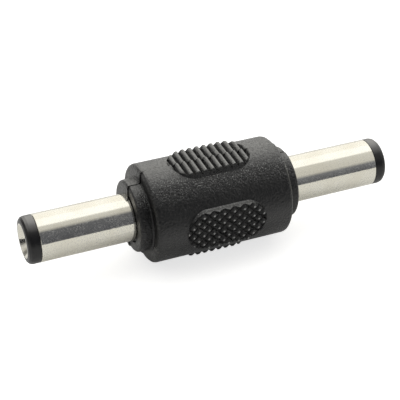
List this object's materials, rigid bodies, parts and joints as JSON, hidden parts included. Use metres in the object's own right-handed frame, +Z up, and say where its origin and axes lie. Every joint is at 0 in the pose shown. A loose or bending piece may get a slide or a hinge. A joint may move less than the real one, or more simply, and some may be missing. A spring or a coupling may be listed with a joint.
{
  "type": "dc barrel adapter",
  "caption": "Plug-to-plug DC power coupler: plated barrel plugs back to back in a moulded grip body with ribbed and diamond finger pads.",
  "frame": {"origin": "on the connector's axis, halfway between the two plug tips", "axes": "+X along the connector from the left plug to the right plug, +Y from the front diamond pad to the back one, +Z up through the ribbed pads"},
  "size_m": [0.044, 0.0118, 0.0118],
  "materials": {
    "black_vinyl": "fine matte grain",
    "nickel_plate": "nickel plate over brass, drawn and lightly handled",
    "black_resin": "smooth moulded",
    "natural_resin": "natural, unfilled",
    "tinned_copper": "tinned",
    "solder": "bright solder",
    "red_cover": "soft vinyl",
    "black_cover": "soft vinyl"
  },
  "bodies": {
    "root": {"overmould_body": "black_vinyl", "outer_sleeve_left": "nickel_plate", "outer_sleeve_right": "nickel_plate", "tip_insulator_left": "black_resin", "tip_insulator_right": "black_resin", "centre_contact_left": "nickel_plate", "centre_contact_right": "nickel_plate", "rear_washer_left": "natural_resin", "rear_washer_right": "natural_resin", "ground_tag_left": "nickel_plate", "ground_tag_right": "nickel_plate", "centre_solder_left": "solder", "centre_solder_right": "solder", "ground_solder_left": "solder", "ground_solder_right": "solder", "centre_wire": "tinned_copper", "centre_wire_cover": "red_cover", "ground_wire": "tinned_copper", "ground_wire_cover": "black_cover"}
  },
  "joints": []
}
